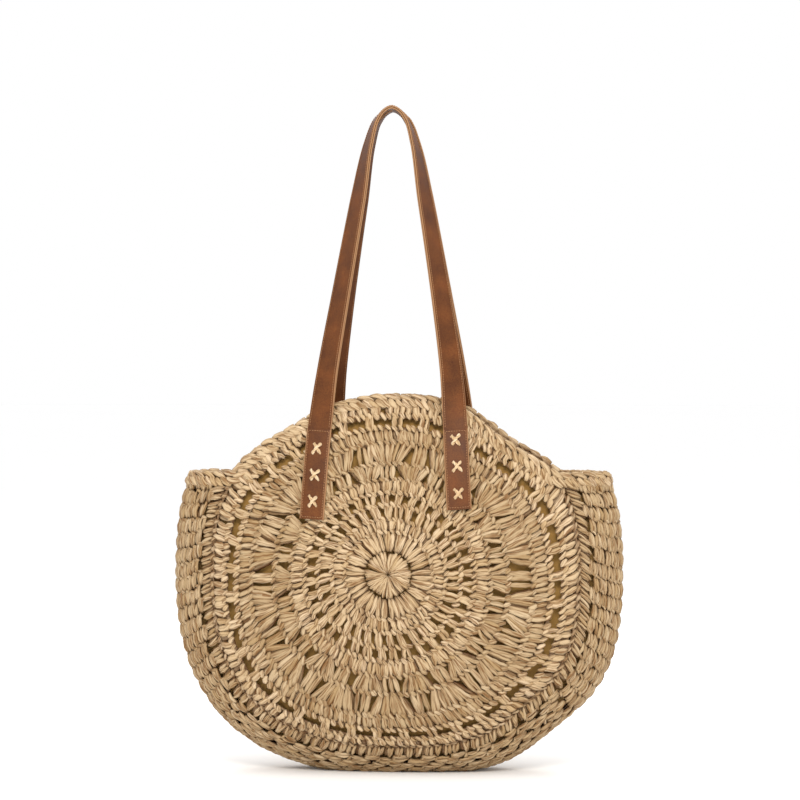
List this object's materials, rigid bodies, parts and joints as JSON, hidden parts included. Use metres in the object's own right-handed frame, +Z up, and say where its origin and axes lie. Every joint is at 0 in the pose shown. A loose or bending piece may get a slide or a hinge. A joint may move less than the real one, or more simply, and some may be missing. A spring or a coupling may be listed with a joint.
{
  "type": "beach bag",
  "caption": "Round crocheted straw tote: two flat leather shoulder handles sewn on with cross stitches, open curved mouth, cotton lining with magnetic snap and a zipped inner pocket.",
  "frame": {"origin": "middle of the flat base, on the surface that the bag stands on", "axes": "+Z up, +X to the right seen from the front, the front disc faces -Y"},
  "size_m": [0.4442, 0.16, 0.6616],
  "materials": {
    "straw": "crocheted paper raffia, satin strands with fine lengthwise creases",
    "leather": "cognac brown smooth grained leather, semi-matt",
    "leather_backing": "matt leather backing layer",
    "raffia_thread": "flat cream raffia thread",
    "cotton_lining": "beige plain-weave cotton, matt",
    "brass": "light antique brass, satin",
    "nylon": "beige nylon zip tape and coil"
  },
  "bodies": {
    "bag": {"front_panel": "straw", "back_panel": "straw", "front_seam": "straw", "back_seam": "straw", "gusset": "straw", "mouth_edging": "straw", "front_left_tab": "leather", "front_right_tab": "leather", "back_left_tab": "leather", "back_right_tab": "leather", "front_left_patch": "leather_backing", "front_right_patch": "leather_backing", "back_left_patch": "leather_backing", "back_right_patch": "leather_backing", "front_left_cross_thread": "raffia_thread", "front_right_cross_thread": "raffia_thread", "back_left_cross_thread": "raffia_thread", "back_right_cross_thread": "raffia_thread", "lining_front": "cotton_lining", "lining_back": "cotton_lining", "lining_gusset": "cotton_lining", "lining_hem": "cotton_lining", "pocket_panel": "cotton_lining", "snap_stud": "brass", "snap_stud_washer": "brass", "snap_socket": "brass", "snap_socket_washer": "brass", "zip_tape_lower": "nylon", "zip_tape_upper": "nylon", "zip_teeth_lower": "nylon", "zip_teeth_upper": "nylon"},
    "front_handle": {"front_handle_strap": "leather", "front_handle_backing": "leather_backing"},
    "back_handle": {"back_handle_strap": "leather", "back_handle_backing": "leather_backing"},
    "slider": {"zip_slider": "brass"},
    "pull": {"zip_pull": "brass"}
  },
  "joints": [
    {"name": "front_handle_swing", "type": "hinge", "parent": "bag", "child": "front_handle", "pos_m": [-0.0075, -0.061, 0.34], "axis": [1, 0, 0], "range_deg": [0, 155]},
    {"name": "back_handle_swing", "type": "hinge", "parent": "bag", "child": "back_handle", "pos_m": [-0.0075, 0.061, 0.34], "axis": [-1, 0, 0], "range_deg": [0, 155]},
    {"name": "zip_slide", "type": "slide", "parent": "bag", "child": "slider", "axis": [-1, 0, 0], "range_m": [0, 0.138]},
    {"name": "pull_swing", "type": "hinge", "parent": "slider", "child": "pull", "pos_m": [0.069, 0.0531, 0.2386], "axis": [0, 0, 1], "range_deg": [0, 150]}
  ]
}
